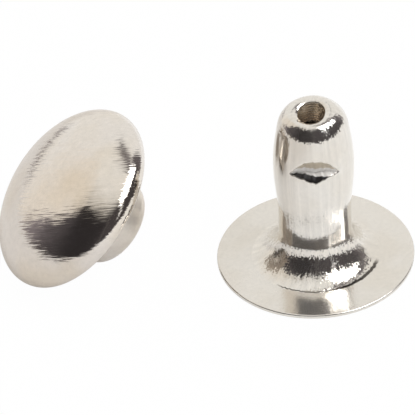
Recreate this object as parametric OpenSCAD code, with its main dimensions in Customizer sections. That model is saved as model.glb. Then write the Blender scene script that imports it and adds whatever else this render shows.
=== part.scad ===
// Two-part hollow rivet of thin plated sheet: a drawn tubular post on a round
// flange, and a domed cap with a socket, lying beside it. The post pushes
// through the work and its swollen nose snaps into the cap's socket.
// Millimetres. Z points up. The origin is the centre of the post's flange,
// on the plane that both pieces rest on.

/* [Sheet] */
// Thickness of the sheet that every piece is drawn from
sheet = 0.2; // [0.15:0.01:0.24]

/* [Post flange] */
// Diameter of the flange
flange_d = 9; // [7:0.1:12]
// Radius that the flange turns up into the shank with
foot_r = 1.4; // [0.8:0.05:1.6]

/* [Post shank] */
// Diameter of the shank's straight length, just above the flange
shank_d = 3.2; // [2.9:0.05:3.5]
// Length of the straight length
straight = 0.8; // [0.5:0.1:1.6]
// Diameter of the swelling near the nose
bulge_d = 3.64; // [3.56:0.02:3.7]
// Height of the swelling above the resting plane
bulge_z = 5.5; // [4.9:0.1:6]
// Overall height of the post
post_h = 8.32; // [7.9:0.02:10]

/* [Nose] */
// Diameter of the ring where the nose is highest
crest_d = 1.8; // [1.7:0.05:2]
// Fullness of the nose's shoulder: 2 is an ellipse, more is squarer
shoulder = 2.15; // [1.9:0.05:2.6]
// Diameter of the hole in the nose
hole_d = 1.16; // [0.8:0.02:1.2]
// Length of the collar that the hole's edge turns down into
collar = 0.5; // [0.3:0.05:0.8]

/* [Pressed notches] */
// Number of notches round the shank
notches = 2; // [2:1:4]
// Height of a notch's bottom line
notch_z = 5.9; // [5.6:0.05:6.2]
// Depth of the bottom line below the swelling
notch_depth = 0.41; // [0.25:0.01:0.5]
// Angle of the notch's upper slope from upright
upper_slope = 21; // [16:1:30]
// Angle of the notch's lower slope below level
lower_slope = 34; // [25:1:45]
// Direction that the first notch faces, about the post
notch_turn = -88; // [-180:1:180]

/* [Cap] */
// Diameter of the cap
cap_d = 8.8; // [8.4:0.1:11]
// Height of the crown above the cap's widest line
crown_h = 1.88; // [1.2:0.02:2.4]
// How early the crown falls away to its edge: 1 is an ellipse, more falls earlier
crown_fall = 1.17; // [1:0.01:1.3]
// Height of the upright band below the widest line
band = 0.4; // [0.2:0.05:0.6]
// Outer radius of the rolled rim
roll_r = 0.35; // [0.28:0.01:0.4]
// Width of the hem that is turned in under the socket's flange
hem = 0.55; // [0.3:0.05:0.9]
// Gap round the socket's flange, inside the rolled rim
socket_gap = 0.05; // [0.02:0.01:0.1]

/* [Socket] */
// Outer diameter of the barrel
barrel_d = 4.1; // [4.05:0.05:4.5]
// Distance from the cap's widest line to the barrel's mouth
barrel_end = 3.05; // [2.6:0.05:3.6]
// Radius between the socket's flange and its barrel
neck_r = 0.4; // [0.25:0.05:0.6]
// Radius of the barrel's rounded end
end_r = 0.6; // [0.4:0.05:0.6]
// Diameter of the mouth that the nose snaps through
mouth_d = 3.5; // [3.4:0.02:3.56]

/* [Where the cap lies] */
// Distance from the post to the cap's middle, along X
cap_x = -11; // [-16:0.1:-10.8]
// Distance from the post to the cap's middle, along Y
cap_y = 1.2; // [-4:0.1:6]
// Direction that the crown faces, about Z
cap_turn = 191.5; // [160:0.5:220]

/* [Hidden] */
$fn = 72;
nickel = [0.78, 0.76, 0.73];
reach = bulge_d;                           // how far a cutter runs past what it cuts
lap = 0.1;                                 // overlap that keeps two cuts from sharing a face

flange_r = flange_d / 2;
shank_r = shank_d / 2;
bulge_r = bulge_d / 2;
crest_r = crest_d / 2;
hole_r = hole_d / 2;
lip_r = crest_r - hole_r;
foot_top = sheet + foot_r;
straight_top = foot_top + straight;
collar_end = post_h - lip_r - collar;

cap_r = cap_d / 2;
roll_in = cap_r - roll_r;                  // radius of the rolled rim's centre line
seat = -band - roll_r + sheet;             // top face of the hem, where the socket sits
socket_r = roll_in - socket_gap;
barrel_r = barrel_d / 2;
end_in = barrel_r - end_r;                 // radius of the rounded end's centre line
end_turn = acos((mouth_d / 2 - end_in) / end_r);
end_z = end_r * sin(end_turn) - barrel_end;

// The cap rests on its rolled rim and its barrel's end, so both touch the plane
rest_in = roll_in - end_in;
rest_down = -end_z - band;
cap_tilt = atan2(rest_in, rest_down) + asin((roll_r - end_r) / norm([rest_in, rest_down]));
cap_z = roll_in * cos(cap_tilt) + roll_r + band * sin(cap_tilt);

// Points along a circle's arc
function arc(c, r, from, to, n) =
    [for (i = [0:n]) let (a = from + (to - from) * i / n) c + r * [cos(a), sin(a)]];

function reversed(path) = [for (i = [len(path) - 1:-1:0]) path[i]];

// Shank from its straight length out to the swelling: steep at first, then upright
function swelling(depth, n) =
    [for (i = [0:n]) let (u = i / n)
        [shank_r + (bulge_r - shank_r) * (1 - pow(1 - u, 1.5)) - depth,
         straight_top + (bulge_z - straight_top) * u]];

// Nose from the swelling up to its crest
function nose(depth, n) =
    [for (i = [1:n]) let (a = 90 * i / n)
        [crest_r + (bulge_r - crest_r - depth) * pow(cos(a), 2 / shoulder),
         bulge_z + (post_h - bulge_z - depth) * pow(sin(a), 2 / shoulder)]];

// Crown from its middle out to the cap's widest line
function crown(depth, n) =
    [for (i = [0:n]) let (a = 90 - 90 * i / n)
        [(cap_r - depth) * cos(a), (crown_h - depth) * pow(sin(a), crown_fall)]];

// Surface of the post at a depth into its sheet, from the flange to the collar's end
function post_path(depth) = concat(
    arc([shank_r + foot_r, foot_top], foot_r + depth, 270, 180, 12),
    swelling(depth, 10),
    nose(depth, 18),
    arc([crest_r, post_h - lip_r], lip_r - depth, 108, 180, 4),
    [[hole_r + depth, collar_end]]
);

// Surface of the cap's shell at a depth, from the crown's middle to the hem's edge
function shell_path(depth) = concat(
    crown(depth, 24),
    arc([roll_in, -band], roll_r - depth, 0, -90, 8),
    [[roll_in - hem, -band - roll_r + depth]]
);

// Surface of the socket at a depth, from its flange's edge to its mouth
function socket_path(depth) = concat(
    [[socket_r, seat + depth]],
    arc([barrel_r + neck_r, seat - neck_r], neck_r + depth, 90, 180, 8),
    arc([end_in, end_z], end_r - depth, 0, -end_turn, 8)
);

// Everything inside the post's outer surface, with the hole in the nose left open
module post_outside() {
    rim = arc([flange_r - sheet / 2, sheet / 2], sheet / 2, -90, 90, 8);
    rotate_extrude()
        polygon(concat([[0, 0]], rim, post_path(0), [[hole_r, collar_end - lap], [0, collar_end - lap]]));
}

// The hollow that opens under the flange
module post_hollow() {
    rotate_extrude()
        polygon(concat([[0, -reach], [shank_r + foot_r, -reach]], post_path(sheet), [[0, collar_end]]));
}

// Wedges that press the notches in, moved inwards by a depth of sheet
module notch_wedges(depth) {
    spread = cos(upper_slope - lower_slope);
    back = depth * (cos(lower_slope) + sin(upper_slope)) / spread;
    down = depth * (cos(upper_slope) - sin(lower_slope)) / spread;
    x = bulge_r - notch_depth - back;
    z = notch_z - down;
    wide = 2 * reach;
    for (i = [0:notches - 1])
        rotate([90, 0, notch_turn + i * 360 / notches])
            linear_extrude(height = wide, center = true)
                polygon([
                    [x, z],
                    [wide, z - (wide - x) * tan(lower_slope)],
                    [wide, z + reach],
                    [x + reach * tan(upper_slope), z + reach]
                ]);
}

module post() {
    color(nickel)
        difference() {
            post_outside();
            notch_wedges(0);
            difference() {
                post_hollow();
                notch_wedges(sheet);
            }
        }
}

// Lays a piece of the cap on the resting plane, crown facing its direction
module lying_cap() {
    translate([cap_x, cap_y, cap_z])
        rotate([0, 90 - cap_tilt, cap_turn])
            children();
}

module cap_shell() {
    color(nickel)
        lying_cap()
            rotate_extrude()
                polygon(concat(shell_path(0), reversed(shell_path(sheet))));
}

module cap_socket() {
    color(nickel)
        lying_cap()
            rotate_extrude()
                polygon(concat(socket_path(0), reversed(socket_path(sheet))));
}

post();
cap_shell();
cap_socket();
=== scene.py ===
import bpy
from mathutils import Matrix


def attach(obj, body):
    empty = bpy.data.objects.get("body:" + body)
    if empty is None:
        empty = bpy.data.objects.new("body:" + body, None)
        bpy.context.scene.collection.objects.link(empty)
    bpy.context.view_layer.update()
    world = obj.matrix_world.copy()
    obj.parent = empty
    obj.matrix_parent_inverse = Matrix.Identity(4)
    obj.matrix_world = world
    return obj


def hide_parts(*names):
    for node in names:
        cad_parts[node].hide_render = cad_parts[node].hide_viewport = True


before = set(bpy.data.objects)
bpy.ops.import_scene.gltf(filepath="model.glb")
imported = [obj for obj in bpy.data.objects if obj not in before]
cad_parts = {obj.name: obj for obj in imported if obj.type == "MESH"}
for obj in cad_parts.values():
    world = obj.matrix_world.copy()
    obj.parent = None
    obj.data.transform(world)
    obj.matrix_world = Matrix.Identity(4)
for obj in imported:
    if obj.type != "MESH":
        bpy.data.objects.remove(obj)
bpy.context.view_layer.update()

import math

import bpy
import numpy as np
from mathutils import Matrix, Vector

mm = 0.001  # forms are worked out in millimetres, and their meshes are in metres
tiny = 1e-9
bodyName = "root"
print("frame loaded")


# Points on a circle's arc: centre plus radius times (cos, sin), angles in degrees
def arcPoints(centre, radius, start, stop, count):
    turn = np.radians(np.linspace(start, stop, count))
    return np.stack([centre[0] + radius * np.cos(turn), centre[1] + radius * np.sin(turn)], 1)


# Straight line between two points, both ends kept
def linePoints(start, stop, count):
    part = np.linspace(0, 1, count)[:, None]
    return (1 - part) * np.array(start, float) + part * np.array(stop, float)


# Cubic curve: the four points weighted by (1-t)^3, 3t(1-t)^2, 3t^2(1-t) and t^3
def cubicPoints(a, b, c, d, count):
    t = np.linspace(0, 1, count)[:, None]
    return ((1 - t) ** 3 * np.array(a, float) + 3 * t * (1 - t) ** 2 * np.array(b, float)
            + 3 * t ** 2 * (1 - t) * np.array(c, float) + t ** 3 * np.array(d, float))


# Joins stretches of a profile and drops a point that repeats the one before it. Where a stretch
# starts or ends a few hundredths off a corner, that keeps its points clear of the next one's.
def joinPoints(*stretches):
    path = np.concatenate(stretches)
    step = np.linalg.norm(np.diff(path, axis=0), axis=1)
    return path[np.concatenate([[True], step > 1e-6])]


# Moves each point of a profile inwards along its own normal by a depth
def offsetPoints(path, depth):
    slope = np.gradient(path, axis=0)
    length = np.linalg.norm(slope, axis=1)[:, None]
    normal = np.stack([slope[:, 1], -slope[:, 0]], 1) / length
    return path - depth * normal


# Even angles round a full turn, as one row
def roundAngles(columns):
    return np.radians(np.linspace(0, 360, columns, endpoint=False))[None, :]


# Grid of a turned surface: (r cos a, r sin a, z) for every profile point and angle
def turnedGrid(radii, heights, angles):
    radii, heights = radii + 0 * angles, heights + 0 * angles
    return np.stack([radii * np.cos(angles), radii * np.sin(angles), heights], -1)


# Smooth smaller of two values: b + (a - b)s - width * s(1 - s), where s runs from 0 to 1 as a falls
# past b, so the plain minimum is rounded over the width
def softMin(a, b, width):
    share = np.clip(0.5 + 0.5 * (b - a) / width, 0, 1)
    return b + (a - b) * share - width * share * (1 - share)


# Mesh from a grid of points: each cell a quad, columns closed round, rows closed when they loop.
# An open grid ends in two poles, each the mean of its last row, joined by triangles. Where the
# signed volume, the sum of p0 . (p1 x p2) over the faces, is below 0, the faces are turned round.
def gridMesh(name, grid, looped, place=Matrix.Identity(4)):
    rows, columns = grid.shape[:2]
    points = grid.reshape(-1, 3)
    i = np.arange(rows if looped else rows - 1)[:, None]
    j = np.arange(columns)[None, :]
    k = (j + 1) % columns
    below = ((i + 1) % rows) * columns
    quads = np.stack([i * columns + j, i * columns + k, below + k, below + j], -1).reshape(-1, 4)
    faces = quads.tolist()
    if not looped:
        ring = np.arange(columns)
        onward = (ring + 1) % columns
        first, last = len(points), len(points) + 1
        start = (rows - 1) * columns
        points = np.concatenate([points, grid[0].mean(0)[None], grid[-1].mean(0)[None]])
        faces += np.stack([onward, ring, np.full(columns, first)], 1).tolist()
        faces += np.stack([start + ring, start + onward, np.full(columns, last)], 1).tolist()
    turned = points @ np.array(place.to_3x3()).T + np.array(place.translation)
    corners = turned[quads]
    volume = np.einsum("ij,ij->", corners[:, 0], np.cross(corners[:, 1], corners[:, 2]))
    volume += np.einsum("ij,ij->", corners[:, 0], np.cross(corners[:, 2], corners[:, 3]))
    if volume < 0:
        faces = [face[::-1] for face in faces]
    mesh = bpy.data.meshes.new(name)
    mesh.from_pydata((turned * mm).tolist(), [], faces)
    mesh.polygons.foreach_set("use_smooth", np.ones(len(mesh.polygons), bool))
    mesh.update()
    return linkObject(name, mesh)


# Puts a mesh or a camera in the scene as an object of its own
def linkObject(name, data):
    thing = bpy.data.objects.new(name, data)
    bpy.context.scene.collection.objects.link(thing)
    return thing


# Keeps one number for each point of a piece, for its material to read
def addMark(piece, name, values):
    mark = piece.data.attributes.new(name, "FLOAT", "POINT")
    mark.data.foreach_set("value", np.asarray(values).ravel().astype(np.float32))


# Gives an input its value, or a link where the value is another node's output
def feed(tree, target, value):
    if isinstance(value, bpy.types.NodeSocket):
        tree.links.new(value, target)
    else:
        target.default_value = value


# Adds a node with its settings, then its inputs
def addNode(tree, kind, inputs=None, **settings):
    node = tree.nodes.new(kind)
    for key, value in settings.items():
        setattr(node, key, value)
    for key, value in (inputs or {}).items():
        feed(tree, node.inputs[key], value)
    return node


# One Math node: the operation applied to one, two or three values
def maths(tree, operation, *values):
    return addNode(tree, "ShaderNodeMath", dict(enumerate(values)), operation=operation).outputs[0]


# Product of two or more values, from left to right
def product(tree, value, *others):
    for other in others:
        value = maths(tree, "MULTIPLY", value, other)
    return value


# One Vector Math node on one or two vectors; a length, distance or dot product comes out as a number
def vectorMaths(tree, operation, *values):
    outputs = addNode(tree, "ShaderNodeVectorMath", dict(enumerate(values)), operation=operation).outputs
    return outputs["Value" if operation in ("LENGTH", "DISTANCE", "DOT_PRODUCT") else "Vector"]


# Vector or colour times a number
def scaled(tree, vector, factor):
    node = addNode(tree, "ShaderNodeVectorMath", {0: vector, "Scale": factor}, operation="SCALE")
    return node.outputs["Vector"]


# The three parts of a vector, by the names X, Y and Z
def vectorParts(tree, vector):
    return addNode(tree, "ShaderNodeSeparateXYZ", {0: vector}).outputs


# Noise on coordinates times a scale; gives back its outputs
def noise(tree, vector, scale, detail, roughness=0.5):
    return addNode(tree, "ShaderNodeTexNoise", {"Vector": vector, "Scale": scale, "Detail": detail,
                                                "Roughness": roughness}).outputs


# Place of each point in its own piece, in metres
def objectCoords(tree):
    return addNode(tree, "ShaderNodeTexCoord").outputs["Object"]


# Number that a piece keeps for each point under a name
def readMark(tree, name):
    return addNode(tree, "ShaderNodeAttribute", attribute_name=name).outputs["Fac"]


# Smooth step of a value, 3t^2 - 2t^3, from 0 at one edge to 1 at the other
def smoothStep(tree, value, low, high):
    return addNode(tree, "ShaderNodeMapRange", {"Value": value, "From Min": low, "From Max": high},
                   interpolation_type="SMOOTHSTEP").outputs["Result"]


# Smooth step between two lengths, which are given in millimetres
def lengthStep(tree, value, span):
    return smoothStep(tree, value, span[0] * mm, span[1] * mm)


# Colour that runs from one to the other as a factor goes from 0 to 1
def mixColour(tree, factor, first, second):
    return addNode(tree, "ShaderNodeMix", {0: factor, 6: first, 7: second}, data_type="RGBA").outputs[2]


# Number that runs from one to the other as a factor goes from 0 to 1
def mixNumber(tree, factor, first, second):
    return addNode(tree, "ShaderNodeMix", {0: factor, 2: first, 3: second}, data_type="FLOAT").outputs[0]


# Starts a shader group with named inputs (name, kind, value) and outputs (name, kind)
def startGroup(name, inputs, outputs):
    group = bpy.data.node_groups.new(name, "ShaderNodeTree")
    for label, kind, value in inputs:
        socket = group.interface.new_socket(name=label, in_out="INPUT", socket_type=kind)
        socket.default_value = value
    for label, kind in outputs:
        group.interface.new_socket(name=label, in_out="OUTPUT", socket_type=kind)
    return group, group.nodes.new("NodeGroupInput").outputs, group.nodes.new("NodeGroupOutput").inputs


# Places a group in a tree with its own values and gives back its outputs
def useGroup(tree, group, inputs):
    return addNode(tree, "ShaderNodeGroup", inputs, node_tree=group).outputs


# New material with a Principled shader; gives back the material, its tree and the shader
def startMaterial(name):
    material = bpy.data.materials.new(name)
    material.use_nodes = True
    tree = material.node_tree
    return material, tree, tree.nodes["Principled BSDF"]


floatSocket, vectorSocket, colourSocket = "NodeSocketFloat", "NodeSocketVector", "NodeSocketColor"
noiseMean = 0.5


# Swing of a noise about a level: (noise - mean) * amount + level
def swing(tree, value, amount, level):
    return maths(tree, "MULTIPLY_ADD", maths(tree, "SUBTRACT", value, noiseMean), amount, level)


# Swing of a noise's colour about zero, as a tilt: (colour - mean) * strength
def noiseTilt(tree, colour, strength):
    return scaled(tree, vectorMaths(tree, "SUBTRACT", colour, (noiseMean,) * 3), strength)


# Fine lines left by drawing or polishing: a noise on coordinates squeezed across the lines, and
# a plain one for the grain, tilt the normal, so normal = unit(normal + lines + grain). The
# lines' own noise comes out as a mask.
def makeLinesGroup():
    group, given, result = startGroup(
        "fineLines",
        [("Vector", vectorSocket, (0, 0, 0)), ("Detail", floatSocket, 2),
         ("Strength", floatSocket, 0.03), ("Grain", floatSocket, 0.01), ("Grain Scale", floatSocket, 9)],
        [("Normal", vectorSocket), ("Mask", floatSocket)])
    lines = noise(group, given["Vector"], 1, given["Detail"], 0.6)
    grain = noise(group, objectCoords(group), maths(group, "MULTIPLY", given["Grain Scale"], 1 / mm), 1)
    total = vectorMaths(group, "ADD", noiseTilt(group, lines["Color"], given["Strength"]),
                        noiseTilt(group, grain["Color"], given["Grain"]))
    surface = addNode(group, "ShaderNodeNewGeometry").outputs["Normal"]
    normal = vectorMaths(group, "NORMALIZE", vectorMaths(group, "ADD", surface, total))
    group.links.new(normal, result["Normal"])
    group.links.new(lines["Fac"], result["Mask"])
    return group


# scales are times the soft noise's own, and the warm tint comes in over a span of that noise
toneLook = {"cloudScale": 11, "fineScale": 7, "warmAt": (0.35, 0.68)}


# Tone of the plating: colour = mix(light, warm, step of a soft noise) * (1 + mottle * (cloud - mean)),
# and roughness = roughness + spread * (finer noise - mean)
def makeToneGroup(look):
    group, given, result = startGroup(
        "platingTone",
        [("Light", colourSocket, (0.8, 0.78, 0.74, 1)), ("Warm", colourSocket, (0.74, 0.7, 0.62, 1)),
         ("Scale", floatSocket, 0.4), ("Mottle", floatSocket, 0.03),
         ("Roughness", floatSocket, 0.1), ("Roughness Spread", floatSocket, 0.04)],
        [("Color", colourSocket), ("Roughness", floatSocket)])
    place = objectCoords(group)
    scale = maths(group, "MULTIPLY", given["Scale"], 1 / mm)
    soft = noise(group, place, scale, 2)["Fac"]
    cloud = noise(group, place, maths(group, "MULTIPLY", scale, look["cloudScale"]), 3, 0.7)["Fac"]
    fine = noise(group, place, maths(group, "MULTIPLY", scale, look["fineScale"]), 3, 0.6)["Fac"]
    colour = mixColour(group, smoothStep(group, soft, *look["warmAt"]), given["Light"], given["Warm"])
    colour = scaled(group, colour, swing(group, cloud, given["Mottle"], 1))
    rough = swing(group, fine, given["Roughness Spread"], given["Roughness"])
    group.links.new(colour, result["Color"])
    group.links.new(rough, result["Roughness"])
    return group


linesGroup = makeLinesGroup()
toneGroup = makeToneGroup(toneLook)


# Tone of one plating, with its own values
def plateTone(tree, values):
    return useGroup(tree, toneGroup, {
        "Light": values["light"], "Warm": values["warm"], "Scale": values["toneScale"],
        "Mottle": values["mottle"], "Roughness": values["roughness"],
        "Roughness Spread": values["spread"]})


print("effects ready")

# lengths in millimetres, angles in degrees
postForm = {
    "sheet": 0.2, "height": 8.32, "columns": 280,
    "flangeRadius": 4.5, "rimRound": 0.07,
    # the foot's two ends, its slope where it leaves the flange, and the reach of its two handles
    "footEnd": 2.85, "footStep": 0.02, "footSlope": 18, "footRun": 0.7,
    "footRadius": 1.665, "footTop": 1.8, "footLead": 0.7,
    # the bend before the foot: its start and first handle along the flange, its last two up the foot
    "bendStart": 0.07, "bendHandle": 0.04, "bendLead": 0.02, "bendStop": 0.005,
    "waistRadius": 1.65, "waistHeight": 2.7, "bulgeRadius": 1.815, "bulgeHeight": 5.5,
    "taper": 0.0787, "taperPower": 1.583, "shoulderHeight": 7.5, "shoulderLead": 0.55, "crestLead": 0.2,
    "crestRadius": 0.88, "lipRadius": 0.4, "lipTurn": 38, "brimDrop": (0.02, 0.06),
    "holeRadius": 0.615, "collar": 0.95, "rings": 7, "ringDepth": 0.016,
    "notches": 2, "notchHeight": 5.9, "notchDepth": 0.41, "notchTurn": -92, "upperSlope": 21,
    "lipRound": 0.46, "notchDrop": 0.35, "notchEdge": 0.02, "notchFacing": 0.6, "pressedFull": 0.05,
    # the torn line's skew, and its waves: size, number round the post, and start
    "tearSkew": 0.16, "tear": ((0.03, 11, 1.3), (0.018, 29, 0), (0.012, 53, 0.5)),
    "lean": 0.014, "mouthTilt": (0.11, 0.2), "mouthShift": (-0.06, -0.14), "mouthSpan": (0.62, 1.25),
}


# Outer profile from the flange's top edge to the bore: flat flange, a sharp bend, a cubic foot, a
# straight length up to the waist, a swelling r = waist + b(1 - (1 - u^2)^3), a taper
# r = bulge - c(z - z0)^p, a cubic shoulder up to the crest, the lip's arc, and a brim into the bore.
# Rows are closer where the notches are.
def postOutside(form):
    sheet = form["sheet"]
    waist = np.array([form["waistRadius"], form["waistHeight"]])
    bulge = np.array([form["bulgeRadius"], form["bulgeHeight"]])
    crest = np.array([form["crestRadius"], form["height"]])
    footEnd = np.array([form["footEnd"], sheet + form["footStep"]])
    footTop = np.array([form["footRadius"], form["footTop"]])
    slope = math.radians(form["footSlope"])
    along = np.array([-math.cos(slope), math.sin(slope)])
    bendStart = form["footEnd"] + form["bendStart"]
    flange = linePoints([form["flangeRadius"] - form["rimRound"], sheet], [bendStart + 0.02, sheet], 8)
    bend = cubicPoints([bendStart, sheet], [form["footEnd"] + form["bendHandle"], sheet],
                       footEnd - form["bendLead"] * along, footEnd - form["bendStop"] * along, 6)
    foot = cubicPoints(footEnd, footEnd + form["footRun"] * along,
                       footTop - [0, form["footLead"]], footTop, 34)
    shank = linePoints(footTop + [0, 0.05], waist - [0, 0.05], 6)
    climb = np.concatenate([np.linspace(0, 0.88, 22), np.linspace(0.89, 1, 16)])
    swell = np.stack([waist[0] + (bulge[0] - waist[0]) * (1 - (1 - climb ** 2) ** 3),
                      waist[1] + (bulge[1] - waist[1]) * climb], 1)
    rise = np.concatenate([np.linspace(0, 1.4, 60),
                           np.linspace(1.46, form["shoulderHeight"] - bulge[1], 8)])
    taper = np.stack([bulge[0] - form["taper"] * rise ** form["taperPower"], bulge[1] + rise], 1)
    slope = form["taper"] * form["taperPower"] * rise[-1] ** (form["taperPower"] - 1)
    upward = np.array([-slope, 1]) / math.hypot(slope, 1)
    shoulder = cubicPoints(taper[-1], taper[-1] + form["shoulderLead"] * upward,
                           crest + [form["crestLead"], 0], crest, 22)
    lip = arcPoints(crest - [0, form["lipRadius"]], form["lipRadius"], 90, 90 + form["lipTurn"], 12)
    handle, stop = ([form["holeRadius"], lip[-1, 1] - drop] for drop in form["brimDrop"])
    brim = cubicPoints(lip[-1], 2 * lip[-1] - lip[-2], handle, stop, 7)
    return joinPoints(flange, bend, foot, shank, swell, taper, shoulder, lip, brim)


# Turns of the points from the middle of each notch
def notchTurns(form, angles):
    return [angles - math.radians(form["notchTurn"] + index * 360 / form["notches"])
            for index in range(form["notches"])]


# Unevenness of a notch's torn bottom line round the post: the sum of size * sin(waves * turn + start)
def tornLine(form, turn):
    return sum(size * np.sin(waves * turn + start) for size, waves, start in form["tear"])


# How far from the axis a notch lets the sheet reach, along the notch's own direction: above its
# bottom line a plane that leans out, below it a rounded lip x = c + sqrt(R^2 - (z - z0)^2), and
# clear of the post under that. Both are moved inwards by a depth of sheet.
def notchReach(form, heights, depth):
    lipRound, inward = form["lipRound"], form["notchDepth"]
    rise = math.sqrt(lipRound ** 2 - (lipRound - inward) ** 2)
    line = form["notchHeight"] - form["notchDrop"] * depth
    slope = math.tan(math.radians(form["upperSlope"]))
    plane = form["bulgeRadius"] - inward - depth + (heights - line) * slope
    below = np.clip(heights - line + rise, 0, lipRound)
    lip = form["bulgeRadius"] - depth - lipRound + np.sqrt(np.maximum(lipRound ** 2 - below ** 2, tiny))
    clear = 2 * form["flangeRadius"] * (heights < line - rise)
    return np.where(heights > line, plane, lip + clear)


# Presses the notches into a turned surface: r = the smaller of r and reach / cos(turn from the notch)
def pressNotches(form, radii, heights, angles, depth):
    radii = radii + 0 * angles
    for turn in notchTurns(form, angles):
        facing = np.maximum(np.cos(turn), 0.05)  # round the back, the reach is far outside the post
        reach = notchReach(form, heights + tornLine(form, turn), depth)
        radii = softMin(radii, reach / facing, form["notchEdge"])
    return radii


# Marks of the notches on a surface: how far each point was pressed in, from 0 to 1, and how far it
# lies below the torn bottom line, in millimetres
def notchMarks(form, pressed, heights, angles):
    share = np.clip(pressed / form["pressedFull"], 0, 1)
    below = 0 * share
    for turn in notchTurns(form, angles):
        drop = form["notchHeight"] - heights - tornLine(form, turn) - form["tearSkew"] * np.sin(turn)
        below = below + (np.cos(turn) > form["notchFacing"]) * drop
    return share, below * (share > 0)


# Leans the shank a little off square, x + lean * z, and shifts and tips its mouth: z + a x + b y,
# with a weight that falls from 1 to 0 over a span of radius
def bendPost(form, grid):
    x, y, z = grid[..., 0], grid[..., 1], grid[..., 2]
    inner, outer = form["mouthSpan"]
    weight = np.clip((outer - np.hypot(x, y)) / (outer - inner), 0, 1)
    weight = weight * weight * (3 - 2 * weight) * (z > form["waistHeight"])
    tip = weight * (form["mouthTilt"][0] * x + form["mouthTilt"][1] * y)
    x = x + form["lean"] * np.maximum(z - form["sheet"], 0) + weight * form["mouthShift"][0]
    return np.stack([x, y + weight * form["mouthShift"][1], z + tip], -1)


# The post's wall, one closed profile turned about Z: the rim and the outside, the bore with its
# rings, r = hole + depth * sin(2 pi rings * share of the way down), and the inside, which is the
# outside moved in by the sheet. The notches are pressed into both sides.
def buildPost(form):
    sheet, rimRound, rimMiddle = form["sheet"], form["rimRound"], form["flangeRadius"] - form["rimRound"]
    angles = roundAngles(form["columns"])
    outside = postOutside(form)
    top = outside[-1, 1]
    bottom = top - form["collar"]
    drop = np.linspace(top - 0.02, bottom + 0.03, 56)
    waves = (top - drop) / form["collar"] * form["rings"]
    ringed = form["holeRadius"] + form["ringDepth"] * np.sin(waves * 2 * math.pi)
    end = linePoints([form["holeRadius"] + 0.03, bottom], [form["holeRadius"] + sheet - 0.03, bottom], 3)
    inside = offsetPoints(outside, sheet)[::-1][::3]
    inside = inside[inside[:, 0] < form["footEnd"] - 0.05]
    underside = linePoints([inside[-1, 0] + 0.05, 0], [form["flangeRadius"] - 0.1, 0], 10)
    inside[:, 1] = np.maximum(inside[:, 1], 0)
    outer = joinPoints(arcPoints([rimMiddle, rimRound], rimRound, -90, 0, 6),
                       arcPoints([rimMiddle, sheet - rimRound], rimRound, 0, 84, 8), outside)
    middle = joinPoints(np.stack([ringed, drop], 1), end)
    inner = joinPoints(inside, underside)
    outerRadii = pressNotches(form, outer[:, :1], outer[:, 1:], angles, 0)
    innerRadii = pressNotches(form, inner[:, :1], inner[:, 1:], angles, sheet)
    grid = np.concatenate([turnedGrid(outerRadii, outer[:, 1:], angles),
                           turnedGrid(middle[:, :1], middle[:, 1:], angles),
                           turnedGrid(innerRadii, inner[:, 1:], angles)])
    piece = gridMesh("postBody", bendPost(form, grid), True)
    share, below = notchMarks(form, outer[:, :1] - outerRadii, outer[:, 1:], angles)
    noOuter, noMiddle, noInner = 0 * outerRadii, 0 * (middle[:, :1] + angles), 0 * innerRadii
    addMark(piece, "pressed", np.concatenate([share, noMiddle, noInner]))
    addMark(piece, "below", np.concatenate([below, noMiddle, noInner]))
    addMark(piece, "bore", np.concatenate([noOuter, top - middle[:, 1:] + noMiddle, noInner]))
    return piece


post = buildPost(postForm)
print("post built", len(post.data.polygons))

postPlate = {
    "light": (0.80, 0.775, 0.735, 1), "warm": (0.77, 0.735, 0.68, 1), "toneScale": 0.5,
    "roughness": 0.09, "spread": 0.05, "mottle": 0.16, "haze": 0.045,
    "lines": 0.27, "round": 38, "along": 0.9, "grain": 0.36, "grainScale": 14,
    "streak": 0.3, "streaks": 9, "streakAlong": 0.15,
    # the straight shank, between these heights, and the bore are smoother than the drawn foot and nose
    "calm": 0.15, "calmFrom": (1.4, 1.8), "calmTo": (7.6, 7.2),
    "flatFrom": (2.88, 2.95), "flatUnder": (0.23, 0.205), "flangeHaze": 0.07, "flangeRoughness": 0.17,
    "flangeStreak": 0.15,
    # where a notch is pressed in: scuffed plating with no metal shine, whose brown colour is painted
    # shade
    "scuffedAndShaded": (0.66, 0.58, 0.46, 1), "scuffRoughness": 0.5,
    # a notch's painted highlight along its torn line and the painted shadow in the gap under it,
    # by how far below the line they start, in millimetres
    "tornHighlight": (0.95, 0.93, 0.90, 1), "tornHighlightAt": (-0.36, -0.24),
    "gapShadow": (0.012, 0.01, 0.01, 1), "gapAt": (0.05, 0.08), "gapPressed": (0.2, 0.6),
    # deeper in the bore its colour runs to a dark one, which is painted shade
    "bore": (0.86, 0.76, 0.62, 1), "boreDeepShade": (0.4, 0.33, 0.27, 1), "boreRoughness": 0.25,
    "boreAt": (0.005, 0.03), "boreShadeAt": (0.1, 0.75),
    # painted shade along the crease where the foot starts: it faces one way, is thin on its left and
    # wider on its right
    "creaseShade": (0.1, 0.09, 0.08, 1), "creaseRadius": 2.87, "creaseWave": 0.2, "creaseSoft": 0.5,
    "creaseWidth": 0.035, "creaseWider": 0.06, "creaseWiderBy": 0.7,
    "creaseFacing": (0.276, -0.961), "creaseSpan": (0.5, 0.66), "creaseUnder": (1, 0.9),
}


# Coordinates for lines along a post: the unit ring direction times a count round, plus the height
# less the radius times a count along, so that every line runs from the flange up to the nose.
# Gives back the radius and the height too.
def postLines(tree, around, along):
    place = objectCoords(tree)
    flat = vectorMaths(tree, "MULTIPLY", place, (1, 1, 0))
    ring = scaled(tree, vectorMaths(tree, "NORMALIZE", flat), around)
    radius = vectorMaths(tree, "LENGTH", flat)
    height = vectorParts(tree, place)["Z"]
    climb = maths(tree, "MULTIPLY", maths(tree, "SUBTRACT", height, radius), along / mm)
    lift = addNode(tree, "ShaderNodeCombineXYZ", {"Z": climb}).outputs[0]
    return vectorMaths(tree, "ADD", ring, lift), radius, height
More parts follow.
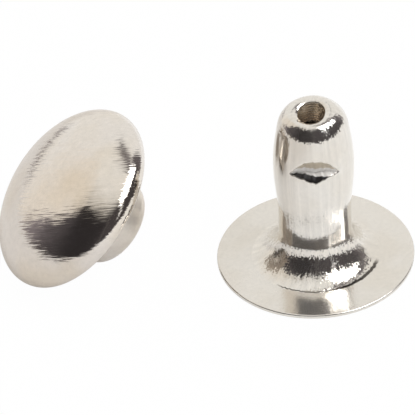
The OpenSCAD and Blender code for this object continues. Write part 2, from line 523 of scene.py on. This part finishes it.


# Painted shade along the crease where the foot starts: 1 within a width of a wavy ring's radius, 0
# outside it, on the side where the dot product of the ring direction and the facing is large
def creaseShadeMask(tree, values, vector, radius, height, wave):
    axes = vectorParts(tree, vector)
    facingX, facingY = values["creaseFacing"]
    facing = maths(tree, "MULTIPLY_ADD", axes["X"], facingX / values["round"],
                   maths(tree, "MULTIPLY", axes["Y"], facingY / values["round"]))
    wider = smoothStep(tree, axes["X"], 0, values["creaseWiderBy"] * values["round"])
    width = maths(tree, "MULTIPLY_ADD", wider, values["creaseWider"], values["creaseWidth"])
    middle = swing(tree, wave, values["creaseWave"], values["creaseRadius"])
    off = maths(tree, "SUBTRACT", maths(tree, "MULTIPLY", radius, 1 / mm), middle)
    off = maths(tree, "DIVIDE", maths(tree, "ABSOLUTE", off), width)
    return product(tree, smoothStep(tree, off, 1, values["creaseSoft"]),
                   smoothStep(tree, facing, *values["creaseSpan"]),
                   lengthStep(tree, height, values["creaseUnder"]))


# Plating of the post: lines, grain and tone all over, streaks from the flange up, and then the
# places that differ, each laid over the last as mix(below, its own, its mask)
def platePost(values):
    material, tree, shader = startMaterial("postPlate")
    vector, radius, height = postLines(tree, values["round"], values["along"])
    depth = readMark(tree, "bore")
    pressed = readMark(tree, "pressed")
    below = readMark(tree, "below")
    hole = smoothStep(tree, depth, *values["boreAt"])
    deepShade = smoothStep(tree, depth, *values["boreShadeAt"])
    shank = product(tree, lengthStep(tree, height, values["calmFrom"]),
                    lengthStep(tree, height, values["calmTo"]))
    flat = product(tree, lengthStep(tree, radius, values["flatFrom"]),
                   lengthStep(tree, height, values["flatUnder"]))
    calm = maths(tree, "MAXIMUM", flat, maths(tree, "MAXIMUM", shank, hole))
    calm = maths(tree, "MULTIPLY_ADD", calm, values["calm"] - 1, 1)
    lines = useGroup(tree, linesGroup, {"Vector": vector, "Grain Scale": values["grainScale"],
                                        "Strength": maths(tree, "MULTIPLY", calm, values["lines"]),
                                        "Grain": maths(tree, "MULTIPLY", calm, values["grain"])})
    tone = plateTone(tree, values)
    wide = noise(tree, postLines(tree, values["streaks"], values["streakAlong"])[0], 1, 3, 0.6)["Fac"]
    fewer = (values["flangeStreak"] - 1) * values["streak"]
    strength = maths(tree, "MULTIPLY_ADD", flat, fewer, values["streak"])
    colour = scaled(tree, tone["Color"], swing(tree, wide, strength, 1))
    # painted highlight along the torn line, and painted shadow in the gap under it
    tornHighlight = maths(tree, "MULTIPLY", pressed, smoothStep(tree, below, *values["tornHighlightAt"]))
    gapShadow = product(tree, smoothStep(tree, pressed, *values["gapPressed"]),
                  smoothStep(tree, below, *values["gapAt"]))
    # painted shade along the crease
    creaseShade = creaseShadeMask(tree, values, vector, radius, height, lines["Mask"])
    # the bore's colour, painted darker with depth as shade
    bore = mixColour(tree, deepShade, values["bore"], values["boreDeepShade"])
    for mask, own in ((pressed, values["scuffedAndShaded"]), (tornHighlight, values["tornHighlight"]), (gapShadow, values["gapShadow"]),
                      (hole, bore), (creaseShade, values["creaseShade"])):
        colour = mixColour(tree, mask, colour, own)
    rough = tone["Roughness"]
    for mask, own in ((flat, values["flangeRoughness"]), (pressed, values["scuffRoughness"]),
                      (hole, values["boreRoughness"])):
        rough = mixNumber(tree, mask, rough, own)
    # dull haze over the mirror: a share of plain paint under the metal
    metal = maths(tree, "MULTIPLY_ADD", flat, -values["flangeHaze"], 1 - values["haze"])
    metal = maths(tree, "MULTIPLY", metal, maths(tree, "SUBTRACT", 1, pressed))
    tree.links.new(colour, shader.inputs["Base Color"])
    tree.links.new(rough, shader.inputs["Roughness"])
    tree.links.new(metal, shader.inputs["Metallic"])
    tree.links.new(lines["Normal"], shader.inputs["Normal"])
    return material


post.data.materials.append(platePost(postPlate))

capForm = {
    "sheet": 0.2, "columns": 360, "place": (-11, 1.2), "turn": 191.5,
    "radius": 4.4, "crown": 1.88, "crownFall": 1.07, "edge": -0.18, "band": 0.4, "roll": 0.35,
    "hem": 0.55, "rimWidth": 0.4, "rimPower": 2.1,
    "fullness": -0.1, "fullFrom": 3.3, "fullTurn": 130, "fullSpan": 80,
    "socketGap": 0.05, "neck": 0.4, "barrelRadius": 2.05, "barrelEnd": 3.05, "end": 0.6,
    "mouthRadius": 1.75,
}


# Middle of the barrel's rounded end, as radius and height, and how far that end turns in before the
# mouth: acos((mouth - middle) / end), in degrees
def barrelCurl(form):
    middle = form["barrelRadius"] - form["end"]
    curl = math.acos((form["mouthRadius"] - middle) / form["end"])
    return middle, form["end"] * math.sin(curl) - form["barrelEnd"], math.degrees(curl)


# Where the cap lies: it leans until the rolled rim and the barrel's rounded end both touch the
# floor, then turns about the upright and moves to its place
def capPlace(form):
    rollIn = form["radius"] - form["roll"]
    endIn, endLine = barrelCurl(form)[:2]
    across, down = rollIn - endIn, -endLine - form["band"]
    tilt = math.atan2(across, down) + math.asin((form["roll"] - form["end"]) / math.hypot(across, down))
    lift = rollIn * math.cos(tilt) + form["roll"] + form["band"] * math.sin(tilt)
    return (Matrix.Translation((form["place"][0], form["place"][1], lift))
            @ Matrix.Rotation(math.radians(form["turn"]), 4, "Z")
            @ Matrix.Rotation(math.pi / 2 - tilt, 4, "Y"))


# Marks the points of the chosen rows as inside, and of two poles the last one
def markInside(piece, rows, columns):
    inside = np.repeat(rows, columns)
    poles = np.array([0, 1])[:len(piece.data.vertices) - len(inside)]
    addMark(piece, "inside", np.concatenate([inside, poles]))
    return piece


# Where the crown is fuller on one side: 6.75 u^2 (1 - u), which is 1 at most, of the share u from a
# start out to the edge, times cos^2 of the turn from the middle of that side
def fullShare(form, path, angles):
    share = np.clip((path[:, :1] - form["fullFrom"]) / (form["radius"] - form["fullFrom"]), 0, 1)
    rise = 6.75 * share ** 2 * (1 - share) * (path[:, 1:] > form["edge"])
    turn = angles - math.radians(form["fullTurn"])
    turn = np.arctan2(np.sin(turn), np.cos(turn))
    side = np.cos(np.clip(turn / math.radians(form["fullSpan"]), -1, 1) * math.pi / 2) ** 2
    return rise * side


# Crown and rim: radius = R * cos(a) and height = edge + crown * sin(a)^fall from the middle out,
# then the rim's quarter of a superellipse, (x/w)^p + (z/h)^p = 1, and the hem. The inside is the
# same path moved in by the sheet, with half the rows.
def buildCapShell(form, place):
    sheet, radius, edge = form["sheet"], form["radius"], form["edge"]
    bottom = -form["band"] - form["roll"]
    hemEnd = radius - form["roll"] - form["hem"]
    width, power = form["rimWidth"], 2 / form["rimPower"]
    angles = roundAngles(form["columns"])
    fall = np.radians(np.linspace(89.6, 0, 120))  # the pole closes what is left at the middle
    t = np.radians(np.linspace(2, 90, 32))
    layers = []
    for depth, every in ((0, 1), (sheet, 2)):
        crown = np.stack([(radius - depth) * np.cos(fall),
                          edge + (form["crown"] - edge - depth) * np.sin(fall) ** form["crownFall"]], 1)
        rim = np.stack([radius - width + (width - depth) * np.cos(t) ** power,
                        edge + (bottom - edge + depth) * np.sin(t) ** power], 1)
        hem = linePoints([radius - width - 0.05, bottom + depth], [hemEnd + 0.04, bottom + depth], 5)
        layers.append(joinPoints(crown[::every], rim[::every], hem))
    hemEdge = arcPoints([hemEnd + 0.06, bottom + sheet / 2], sheet / 2, 250, 110, 7)
    outside = joinPoints(layers[0], hemEdge)
    path = joinPoints(outside, layers[1][::-1])
    heights = path[:, 1:] + form["fullness"] * fullShare(form, path, angles)
    piece = gridMesh("capShell", turnedGrid(path[:, :1], heights, angles), False, place)
    return markInside(piece, np.arange(len(path)) >= len(outside), form["columns"])


# Socket: a flat ring that turns down into a straight barrel, whose end curls in to the mouth, and
# the same path moved in by the sheet
def buildCapSocket(form, place):
    sheet, barrelRadius, neck = form["sheet"], form["barrelRadius"], form["neck"]
    seat = sheet - form["band"] - form["roll"]
    outer = form["radius"] - form["roll"] - form["socketGap"]
    endIn, endLine, curl = barrelCurl(form)
    layers = []
    for depth in (0, sheet):
        ring = linePoints([outer - 0.05, seat + depth], [barrelRadius + neck + 0.03, seat + depth], 6)
        turnDown = arcPoints([barrelRadius + neck, seat - neck], neck + depth, 90, 180, 18)
        barrel = linePoints([barrelRadius - depth, seat - neck - 0.06],
                            [barrelRadius - depth, endLine + 0.06], 10)
        end = arcPoints([endIn, endLine], form["end"] - depth, 0, -curl, 22)
        layers.append(joinPoints(ring, turnDown, barrel, end))
    path = joinPoints(layers[0], layers[1][::-1])
    grid = turnedGrid(path[:, :1], path[:, 1:], roundAngles(form["columns"]))
    piece = gridMesh("capSocket", grid, True, place)
    # the flat ring faces the work and, like the inside, is dull and painted in shade
    dullAndShaded = (path[:, 0] > barrelRadius + 0.12) | (np.arange(len(path)) >= len(layers[0]))
    return markInside(piece, dullAndShaded, form["columns"])


lying = capPlace(capForm)
capShell = buildCapShell(capForm, lying)
capSocket = buildCapSocket(capForm, lying)
print("cap built", len(capShell.data.polygons), len(capSocket.data.polygons))

capPlate = {
    "light": (0.80, 0.762, 0.725, 1), "warm": (0.77, 0.71, 0.63, 1), "toneScale": 0.35,
    "roughness": 0.09, "spread": 0.06, "mottle": 0.22, "haze": 0.01,
    "lines": 0.36, "lineAlong": (0.9998, 0.0017, 0.0021), "lineAcross": (-0.0026, 0.6203, 0.7844),
    "along": 1.0, "across": 32, "grain": 0.03, "grainScale": 6,
    # the side that faces the work, painted in shade, starts at this height on the cap's own axis
    "under": (0.42, 0.36, 0.30, 1), "underRoughness": 0.35, "underTop": -0.62, "underFade": 0.06,
    "mirrorShade": 0.75,
}
socketPlate = {**capPlate, "roughness": 0.34, "lines": 0.2, "haze": 0.45, "underTop": -9,
               "mirrorShade": 0.4}


# Plating of the cap and the socket: the polishing lines are straight, so the coordinates are dot
# products with three axes, each times its own count. Colour and roughness run to dull ones with a
# dark painted shade on the side that faces the work, inside, and where another piece mirrors this one.
def plateCap(name, values, place):
    material, tree, shader = startMaterial(name)
    coords = objectCoords(tree)
    along, across = Vector(values["lineAlong"]), Vector(values["lineAcross"])
    axes = {"X": along * values["along"], "Y": across * values["across"],
            "Z": along.cross(across) * values["along"]}
    parts = {label: vectorMaths(tree, "DOT_PRODUCT", coords, tuple(axis / mm))
             for label, axis in axes.items()}
    vector = addNode(tree, "ShaderNodeCombineXYZ", parts).outputs[0]
    lines = useGroup(tree, linesGroup, {"Vector": vector, "Grain Scale": values["grainScale"],
                                        "Strength": values["lines"], "Grain": values["grain"]})
    tone = plateTone(tree, values)
    upright = place.to_3x3() @ Vector((0, 0, 1))
    level = vectorMaths(tree, "DOT_PRODUCT", coords, tuple(upright / mm))
    level = maths(tree, "SUBTRACT", level, place.translation.dot(upright))
    underneath = smoothStep(tree, level, values["underTop"], values["underTop"] - values["underFade"])
    # in another piece's mirror the cap is painted in the same shade, so its reflection is darker
    mirrorShade = maths(tree, "MULTIPLY", addNode(tree, "ShaderNodeLightPath").outputs["Is Glossy Ray"],
                     values["mirrorShade"])
    dullAndShaded = maths(tree, "MAXIMUM", maths(tree, "MAXIMUM", underneath, readMark(tree, "inside")), mirrorShade)
    colour = mixColour(tree, dullAndShaded, tone["Color"], values["under"])
    rough = mixNumber(tree, dullAndShaded, tone["Roughness"], values["underRoughness"])
    tree.links.new(colour, shader.inputs["Base Color"])
    tree.links.new(rough, shader.inputs["Roughness"])
    tree.links.new(lines["Normal"], shader.inputs["Normal"])
    shader.inputs["Metallic"].default_value = 1 - values["haze"]
    return material


capShell.data.materials.append(plateCap("capPlate", capPlate, lying))
capSocket.data.materials.append(plateCap("socketPlate", socketPlate, lying))

for piece, node, slotName in ((post, "post", "post_plate"), (capShell, "cap_shell", "cap_plate"),
                              (capSocket, "cap_socket", "socket_plate")):
    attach(piece, bodyName)
    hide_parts(node)
print("pieces placed")

floorForm = {
    "centre": (-5, 25), "radius": 90, "colour": (0.9, 0.9, 0.9, 1), "glow": 0.985, "mirrorGlow": 0.5,
    # above, how much of it glows, to the camera and to a mirror; below, what the pieces mirror: a
    # dimmer side, a lit side, and the soft shade behind the cap
    "dimSide": (0.68, 0.635, 0.59, 1), "litSide": (1.1, 1.1, 1.09, 1), "sideSpan": (-16, 4),
    "shadow": (0.28, 0.24, 0.2, 1), "shadowAt": (-10.8, 7.6), "shadowSpan": (4.2, 1.47),
}
white = (1, 1, 1, 1)


# Flat disc: (r cos a, r sin a) about its centre
def buildFloor(form):
    ring = turnedGrid(np.array([[form["radius"]]]), 0, roundAngles(96))[0] + (*form["centre"], 0)
    mesh = bpy.data.meshes.new("floor")
    mesh.from_pydata((ring * mm).tolist(), [], [list(range(len(ring)))])
    mesh.materials.append(paperFloor(form))
    return linkObject("floor", mesh)


# Floor paper: white to the camera, with the shadows that fall on it, and to a mirror a glow that
# runs from the dim side to the lit one, with the cap's shade in it
def paperFloor(form):
    material, tree, shader = startMaterial("floorPaper")
    tree.nodes.remove(shader)
    ray = addNode(tree, "ShaderNodeLightPath").outputs
    coords = objectCoords(tree)
    side = lengthStep(tree, vectorParts(tree, coords)["X"], form["sideSpan"])
    middle = (form["shadowAt"][0] * mm, form["shadowAt"][1] * mm, 0)
    shade = lengthStep(tree, vectorMaths(tree, "DISTANCE", coords, middle), form["shadowSpan"])
    seen = mixColour(tree, side, form["dimSide"], form["litSide"])
    seen = mixColour(tree, shade, seen, form["shadow"])
    seen = mixColour(tree, ray["Is Camera Ray"], seen, white)
    glow = addNode(tree, "ShaderNodeEmission", {"Color": seen, "Strength": 1}).outputs[0]
    paper = addNode(tree, "ShaderNodeBsdfDiffuse", {"Color": form["colour"]}).outputs[0]
    mirror = maths(tree, "MULTIPLY_ADD", maths(tree, "MULTIPLY", shade, ray["Is Glossy Ray"]),
                   1 - form["mirrorGlow"], form["mirrorGlow"])
    share = maths(tree, "MULTIPLY_ADD", ray["Is Glossy Ray"], mirror,
                  maths(tree, "MULTIPLY", ray["Is Camera Ray"], form["glow"]))
    mixed = addNode(tree, "ShaderNodeMixShader", {0: share, 1: paper, 2: glow}).outputs[0]
    tree.links.new(mixed, tree.nodes["Material Output"].inputs["Surface"])
    return material


buildFloor(floorForm)

# Turns are shares of the full turn from the back, counter-clockwise seen from above, and tops,
# feet and other lines are pairs of turn and elevation in degrees. Sides are four turns: from 0 at
# the first to 1 at the second, and from 1 at the third to 0 at the last. Spans are elevations.
studio = {
    "tent": (0.925, 0.905, 0.865, 1), "dark": (1.03, 0.90, 0.93), "lamp": (6, 6, 6, 1),
    "darkTop": ((0.0, 0), (0.17, 1), (0.21, 12), (0.24, 20), (0.28, 37), (0.34, 47), (0.38, 47),
                (0.42, 45), (0.46, 43), (0.5, 43), (0.56, 42), (0.68, 40), (0.78, 40), (0.81, 54),
                (0.86, 54), (0.90, 50), (0.94, 46), (1.0, 0)),
    "lightFoot": ((0.0, 4), (0.17, 6), (0.21, 18), (0.24, 27), (0.28, 46), (0.34, 57), (0.38, 57),
                  (0.42, 58), (0.46, 61), (0.5, 66), (0.56, 66), (0.68, 60), (0.78, 60), (0.81, 70),
                  (0.86, 66), (0.90, 60), (0.94, 50), (1.0, 6)),
    "darkFoot": ((0.0, 0), (0.17, -1), (0.3, -2), (0.4, -6), (0.5, -8), (0.6, -8), (0.7, -4), (0.8, -1),
                 (1.0, 0)),
    "darkSides": (0.16, 0.2, 0.84, 0.855), "fadePower": 1.4,
    # how light the dark part is, by turn
    "darkLevel": ((0.0, 0.2), (0.2, 0.24), (0.22, 0.19), (0.25, 0.1), (0.3, 0.06), (0.38, 0.026),
                  (0.45, 0.03), (0.5, 0.05), (0.56, 0.06), (0.7, 0.06), (0.78, 0.06), (0.81, 0.13),
                  (0.9, 0.15), (1.0, 0.1)),
    "lampFoot": ((0.0, 60), (0.56, 55), (0.6, 46), (0.63, 42), (0.71, 41), (0.74, 40), (0.783, 35),
                 (0.81, 39), (0.86, 53), (0.9, 60), (1.0, 60)),
    "lampSides": (0.58, 0.597, 0.772, 0.788), "lampTop": 68, "edge": 2.0,
    # the lamp's frame, whose turns are counted from the front, and a seam low at the back
    "frame": ((0.0, 60), (0.25, 65), (0.303, 70), (0.364, 70), (0.444, 69), (0.461, 65), (0.472, 61),
              (0.5, 60), (1.0, 50)),
    "frameSides": (0.235, 0.26, 0.47, 0.5), "frameWidth": 9,
    "seam": -1.5, "seamWidth": 3, "seamSides": (0.055, 0.066, 0.11, 0.135),
    "pole": (0.17, 0.16, 0.15, 1), "poleTurn": 0.498, "poleWidth": 0.003,
    "glint": (1.3, 1.3, 1.3, 1), "glintTurn": 0.617, "glintWidth": 0.009, "glintSpan": (12, 18, 44, 50),
    "shade": 0.28, "shadeSides": (0.22, 0.3, 0.56, 0.6), "shadeSpan": (82, 45),
    "warm": (0.88, 0.815, 0.725, 1), "warmSides": (0.08, 0.18, 0.36, 0.5), "warmSpan": (75, 40),
}


# Curve node through points of (turn, value), whose values it keeps as 0 to 1 between two ends
def curveThrough(tree, share, points, low=-90, high=90):
    node = addNode(tree, "ShaderNodeFloatCurve", {"Value": share})
    curve = node.mapping.curves[0]
    while len(curve.points) < len(points):
        curve.points.new(0.5, 0.5)
    for point, (x, y) in zip(curve.points, points):
        point.location = (x, (y - low) / (high - low))
        point.handle_type = "AUTO_CLAMPED"
    node.mapping.update()
    return maths(tree, "MULTIPLY_ADD", node.outputs[0], high - low, low)


# 1 between two sides and 0 outside them, with a smooth step at each
def between(tree, value, sides):
    return product(tree, smoothStep(tree, value, sides[0], sides[1]),
                   smoothStep(tree, value, sides[3], sides[2]))


# Soft line: exp(-(d/width)^2) of the distance from its middle
def softLine(tree, value, middle, width):
    off = maths(tree, "DIVIDE", maths(tree, "SUBTRACT", value, middle), width)
    return maths(tree, "EXPONENT", maths(tree, "MULTIPLY", maths(tree, "MULTIPLY", off, off), -1))


# How dark each direction is: 1 from the dark part's foot up to its top, then 1 - step^power up to the
# light's foot, and the lamp's frame and the seam as soft lines, whichever is darker
def studioDarkness(tree, values, share, elevation):
    top = curveThrough(tree, share, values["darkTop"])
    span = maths(tree, "SUBTRACT", curveThrough(tree, share, values["lightFoot"]), top)
    fade = smoothStep(tree, maths(tree, "DIVIDE", maths(tree, "SUBTRACT", elevation, top), span), 0, 1)
    faded = maths(tree, "SUBTRACT", 1, maths(tree, "POWER", fade, values["fadePower"]))
    height = maths(tree, "SUBTRACT", elevation, curveThrough(tree, share, values["darkFoot"]))
    dark = product(tree, faded, smoothStep(tree, height, -values["edge"], values["edge"]),
                   between(tree, share, values["darkSides"]))
    around = maths(tree, "FRACT", maths(tree, "ADD", share, 0.5))
    bar = softLine(tree, elevation, curveThrough(tree, around, values["frame"]), values["frameWidth"])
    bar = product(tree, bar, between(tree, around, values["frameSides"]))
    seam = softLine(tree, elevation, values["seam"], values["seamWidth"])
    seam = product(tree, seam, between(tree, share, values["seamSides"]))
    return maths(tree, "MAXIMUM", dark, maths(tree, "MAXIMUM", bar, seam))


# World by direction: elevation = asin(z), share of turn = angle from +Y over a full turn. A pale
# tent, darker on one side and warmer on another, is mixed with the dark part, then a glint and the
# lamp are laid over it. The camera sees plain white.
def buildWorld(values):
    world = bpy.data.worlds.new("studio")
    world.use_nodes = True
    bpy.context.scene.world = world
    tree = world.node_tree
    tree.nodes.clear()
    parts = vectorParts(tree, addNode(tree, "ShaderNodeTexCoord").outputs["Generated"])
    elevation = maths(tree, "MULTIPLY", maths(tree, "ARCSINE", parts["Z"]), 180 / math.pi)
    turn = maths(tree, "ARCTAN2", maths(tree, "MULTIPLY", parts["X"], -1), parts["Y"])
    share = maths(tree, "FRACT", maths(tree, "MULTIPLY_ADD", turn, 0.5 / math.pi, 1.0))
    level = curveThrough(tree, share, values["darkLevel"], 0, 1)
    pole = softLine(tree, share, values["poleTurn"], values["poleWidth"])
    dark = mixColour(tree, pole, scaled(tree, values["dark"], level), values["pole"])
    warmth = product(tree, between(tree, share, values["warmSides"]),
                     smoothStep(tree, elevation, *values["warmSpan"]))
    shade = product(tree, between(tree, share, values["shadeSides"]),
                    smoothStep(tree, elevation, *values["shadeSpan"]))
    tent = mixColour(tree, warmth, values["tent"], values["warm"])
    tent = scaled(tree, tent, maths(tree, "MULTIPLY_ADD", shade, -values["shade"], 1))
    colour = mixColour(tree, studioDarkness(tree, values, share, elevation), tent, dark)
    glint = product(tree, softLine(tree, share, values["glintTurn"], values["glintWidth"]),
                    between(tree, elevation, values["glintSpan"]))
    colour = mixColour(tree, glint, colour, values["glint"])
    edge, lampTop = values["edge"], values["lampTop"]
    height = maths(tree, "SUBTRACT", elevation, curveThrough(tree, share, values["lampFoot"]))
    lit = product(tree, smoothStep(tree, height, -edge, edge),
                  smoothStep(tree, elevation, lampTop + edge, lampTop - edge),
                  between(tree, share, values["lampSides"]))
    colour = mixColour(tree, lit, colour, values["lamp"])
    ray = addNode(tree, "ShaderNodeLightPath").outputs
    light = addNode(tree, "ShaderNodeBackground", {"Color": colour, "Strength": 1}).outputs[0]
    plain = addNode(tree, "ShaderNodeBackground", {"Color": white, "Strength": 1}).outputs[0]
    mixed = addNode(tree, "ShaderNodeMixShader", {0: ray["Is Camera Ray"], 1: light, 2: plain})
    addNode(tree, "ShaderNodeOutputWorld", {"Surface": mixed.outputs[0]})


buildWorld(studio)

# lengths in millimetres, angles in degrees
cameraForm = {"target": (-4.783, 4.04, 0), "elevation": 38.34, "distance": 153.73, "roll": 3.85,
              "view": 7.196, "nearest": 10}


# Camera: back along the line of sight from its target, then rolled about that line
def buildCamera(form):
    rise, roll = math.radians(form["elevation"]), math.radians(form["roll"])
    right = Vector((1, 0, 0))
    up = Vector((0, math.sin(rise), math.cos(rise)))
    back = Vector((0, -math.cos(rise), math.sin(rise)))
    data = bpy.data.cameras.new("camera")
    data.sensor_fit = "HORIZONTAL"
    data.angle = math.radians(form["view"])
    data.clip_start = form["nearest"] * mm
    camera = linkObject("camera", data)
    side = math.cos(roll) * right - math.sin(roll) * up
    top = math.sin(roll) * right + math.cos(roll) * up
    axes = Matrix((side, top, back)).transposed()
    place = (Vector(form["target"]) + form["distance"] * back) * mm
    camera.matrix_world = Matrix.Translation(place) @ axes.to_4x4()
    bpy.context.scene.camera = camera


buildCamera(cameraForm)
bpy.context.scene.view_settings.view_transform = "Standard"
print("studio ready")
